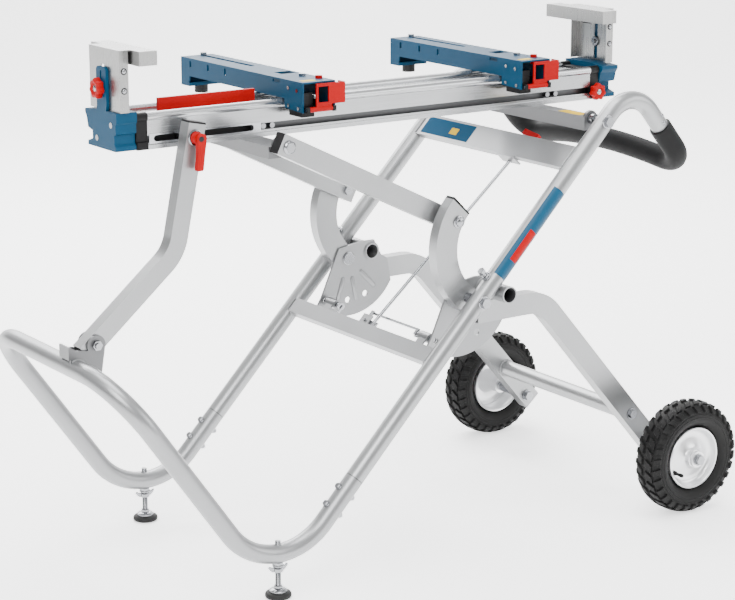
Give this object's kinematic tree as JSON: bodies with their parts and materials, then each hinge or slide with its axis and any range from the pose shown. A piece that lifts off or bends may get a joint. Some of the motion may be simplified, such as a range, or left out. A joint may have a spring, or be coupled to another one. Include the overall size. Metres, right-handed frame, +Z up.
{
  "type": "miter saw stand",
  "caption": "Wheeled folding miter saw stand: tubular frame, gravity-rise linkage, extruded beam with sliding tool mounts and pull-out work supports.",
  "frame": {"origin": "on the floor, under the middle of the whole stand's outline", "axes": "+X along the beam towards the wheels and the handle, +Y away from the user who stands in front, +Z up"},
  "size_m": [1.2431, 0.66, 0.892],
  "materials": {
    "frame_paint": "satin silver powder coat",
    "frame_paint_dark": "satin grey coat",
    "zinc": "bright zinc plate",
    "rim_steel": "silver coat",
    "extrusion": "natural anodised, drawn along the length",
    "steel_bright": "bright steel",
    "blue_paint": "satin blue coat",
    "blue_cast": "satin blue on a die casting",
    "black_plastic": "moulded black",
    "red_plastic": "moulded red",
    "red_paint": "red coat",
    "foam": "black foam sleeve",
    "tyre": "black rubber with a block tread",
    "rubber": "black rubber pad and zinc screw"
  },
  "bodies": {
    "main_frame": {"upper_frame_tube": "frame_paint", "foot_loop_tube": "frame_paint", "splice_sleeves": "zinc", "splice_bolts": "zinc", "upper_crossbar": "frame_paint", "lower_crossbar": "frame_paint", "handle_grip": "foam", "frame_pivot_bolts": "zinc", "stop_adjusters": "zinc", "strut_bracket": "frame_paint_dark"},
    "wheel_carriage": {"leg_tube_front": "frame_paint", "leg_tube_rear": "frame_paint", "curved_arm_front": "frame_paint", "curved_arm_rear": "frame_paint", "gusset_front": "frame_paint", "gusset_rear": "frame_paint", "carriage_cross_tube": "frame_paint", "carriage_fasteners": "zinc", "tube_plugs": "black_plastic", "axles": "zinc"},
    "wheel_front": {"rim_front": "rim_steel", "tyre_front": "tyre"},
    "wheel_rear": {"rim_rear": "rim_steel", "tyre_rear": "tyre"},
    "lift_frame": {"lift_bar_front": "frame_paint", "lift_bar_rear": "frame_paint"},
    "beam": {"beam_profile": "extrusion", "beam_end_caps": "black_plastic", "beam_channels": "frame_paint_dark", "slot_plate": "steel_bright", "beam_bolts": "zinc", "stop_strip": "red_paint"},
    "support_strut": {"strut": "frame_paint", "strut_cap": "black_plastic"},
    "clamp": {"clamp_lever": "red_plastic"},
    "slot_slider": {"slot_nut": "zinc"},
    "extension_left": {"rail_left": "steel_bright", "end_bracket_left": "blue_cast"},
    "extension_right": {"rail_right": "steel_bright", "end_bracket_right": "blue_cast"},
    "support_left": {"work_support_left": "steel_bright"},
    "support_right": {"work_support_right": "steel_bright"},
    "support_knob_left": {"height_knob_left": "red_plastic"},
    "support_knob_right": {"height_knob_right": "red_plastic"},
    "clamp_knob_left": {"rail_knob_left": "red_plastic"},
    "clamp_knob_right": {"rail_knob_right": "red_plastic"},
    "mount_left": {"tool_mount_left": "blue_paint", "mount_frame_left": "black_plastic"},
    "mount_right": {"tool_mount_right": "blue_paint", "mount_frame_right": "black_plastic"},
    "latch_left": {"mount_latch_left": "red_plastic"},
    "latch_right": {"mount_latch_right": "red_plastic"},
    "button_left": {"mount_button_left": "red_plastic"},
    "button_right": {"mount_button_right": "red_plastic"},
    "fold_release": {"release_rod": "zinc"},
    "crank": {"release_crank": "zinc"},
    "pin_front": {"lock_pin_front": "zinc"},
    "pin_rear": {"lock_pin_rear": "zinc"},
    "levelling_foot_front": {"foot_front": "rubber"},
    "levelling_foot_rear": {"foot_rear": "rubber"}
  },
  "joints": [
    {"name": "carriage_fold", "type": "hinge", "parent": "main_frame", "child": "wheel_carriage", "pos_m": [0.0865, 0, 0.4415], "axis": [0, 1, 0], "range_deg": [0, 42]},
    {"name": "beam_fold", "type": "hinge", "parent": "main_frame", "child": "beam", "pos_m": [0.3505, 0, 0.726], "axis": [0, 1, 0], "range_deg": [-30.3, 0]},
    {"name": "lift_fold", "type": "hinge", "parent": "beam", "child": "lift_frame", "pos_m": [-0.2525, 0, 0.731], "axis": [0, 1, 0], "range_deg": [-18.8, 0]},
    {"name": "strut_fold", "type": "hinge", "parent": "main_frame", "child": "support_strut", "pos_m": [-0.5705, -0.0755, 0.437], "axis": [0, 1, 0], "range_deg": [0, 58.9]},
    {"name": "slot_nut_slide", "type": "slide", "parent": "beam", "child": "slot_slider", "axis": [1, 0, 0], "range_m": [-0.04, 0.125]},
    {"name": "clamp_lever_turn", "type": "hinge", "parent": "support_strut", "child": "clamp", "pos_m": [-0.38134, -0.1, 0.74896], "axis": [0, 1, 0], "range_deg": [0, 90]},
    {"name": "wheel_front_spin", "type": "hinge", "parent": "wheel_carriage", "child": "wheel_front", "pos_m": [0.5175, -0.288, 0.104], "axis": [0, 1, 0], "continuous": true},
    {"name": "wheel_rear_spin", "type": "hinge", "parent": "wheel_carriage", "child": "wheel_rear", "pos_m": [0.5175, 0.288, 0.104], "axis": [0, 1, 0], "continuous": true},
    {"name": "extension_left_slide", "type": "slide", "parent": "beam", "child": "extension_left", "axis": [-1, 0, 0], "range_m": [0, 0.7]},
    {"name": "extension_right_slide", "type": "slide", "parent": "beam", "child": "extension_right", "axis": [1, 0, 0], "range_m": [0, 0.7]},
    {"name": "support_left_lift", "type": "slide", "parent": "extension_left", "child": "support_left", "axis": [0, 0, 1], "range_m": [0, 0.028]},
    {"name": "support_right_lift", "type": "slide", "parent": "extension_right", "child": "support_right", "axis": [0, 0, 1], "range_m": [0, 0.028]},
    {"name": "support_knob_left_turn", "type": "hinge", "parent": "extension_left", "child": "support_knob_left", "pos_m": [-0.5045, 0, 0.828], "axis": [-1, 0, 0], "continuous": true},
    {"name": "support_knob_right_turn", "type": "hinge", "parent": "extension_right", "child": "support_knob_right", "pos_m": [0.5355, 0, 0.828], "axis": [1, 0, 0], "continuous": true},
    {"name": "clamp_knob_left_turn", "type": "hinge", "parent": "beam", "child": "clamp_knob_left", "pos_m": [-0.454, 0.05, 0.744], "axis": [0, 1, 0], "continuous": true},
    {"name": "clamp_knob_right_turn", "type": "hinge", "parent": "beam", "child": "clamp_knob_right", "pos_m": [0.485, -0.05, 0.744], "axis": [0, -1, 0], "continuous": true},
    {"name": "mount_left_slide", "type": "slide", "parent": "beam", "child": "mount_left", "axis": [1, 0, 0], "range_m": [-0.03, 0.16]},
    {"name": "latch_left_turn", "type": "hinge", "parent": "mount_left", "child": "latch_left", "pos_m": [-0.1565, -0.109, 0.777], "axis": [1, 0, 0], "range_deg": [0, 75]},
    {"name": "button_left_press", "type": "slide", "parent": "mount_left", "child": "button_left", "axis": [0, 0, -1], "range_m": [0, 0.003], "stiffness_N_per_m": 400, "springref_m": -0.001},
    {"name": "mount_right_slide", "type": "slide", "parent": "beam", "child": "mount_right", "axis": [1, 0, 0], "range_m": [-0.16, 0.14]},
    {"name": "latch_right_turn", "type": "hinge", "parent": "mount_right", "child": "latch_right", "pos_m": [0.2985, -0.109, 0.777], "axis": [1, 0, 0], "range_deg": [0, 75]},
    {"name": "button_right_press", "type": "slide", "parent": "mount_right", "child": "button_right", "axis": [0, 0, -1], "range_m": [0, 0.003], "stiffness_N_per_m": 400, "springref_m": -0.001},
    {"name": "release_rod_pull", "type": "slide", "parent": "main_frame", "child": "fold_release", "axis": [0.6846, -0.1378, 0.7158], "range_m": [-0.0075, 0.015], "stiffness_N_per_m": 300, "springref_m": -0.005},
    {"name": "crank_turn", "type": "hinge", "parent": "main_frame", "child": "crank", "pos_m": [0.02306, 0.02, 0.36379], "axis": [-0.7218, 0, 0.6921], "range_deg": [-16, 31.5]},
    {"name": "lock_pin_front_slide", "type": "slide", "parent": "main_frame", "child": "pin_front", "axis": [0, 1, 0], "range_m": [-0.0056, 0.0112]},
    {"name": "lock_pin_rear_slide", "type": "slide", "parent": "main_frame", "child": "pin_rear", "axis": [0, -1, 0], "range_m": [-0.0056, 0.0112]},
    {"name": "foot_front_screw", "type": "slide", "parent": "main_frame", "child": "levelling_foot_front", "axis": [0, 0, -1], "range_m": [0, 0.025]},
    {"name": "foot_rear_screw", "type": "slide", "parent": "main_frame", "child": "levelling_foot_rear", "axis": [0, 0, -1], "range_m": [0, 0.025]}
  ],
  "couplings": [
    {"joint": "beam_fold", "follows": "carriage_fold", "ratio": -0.72},
    {"joint": "lift_fold", "follows": "carriage_fold", "ratio": -0.445},
    {"joint": "strut_fold", "follows": "carriage_fold", "ratio": 1.4},
    {"joint": "crank_turn", "follows": "release_rod_pull", "rad_per_m": 35.7},
    {"joint": "lock_pin_front_slide", "follows": "release_rod_pull", "ratio": 0.714},
    {"joint": "lock_pin_rear_slide", "follows": "release_rod_pull", "ratio": 0.714}
  ]
}
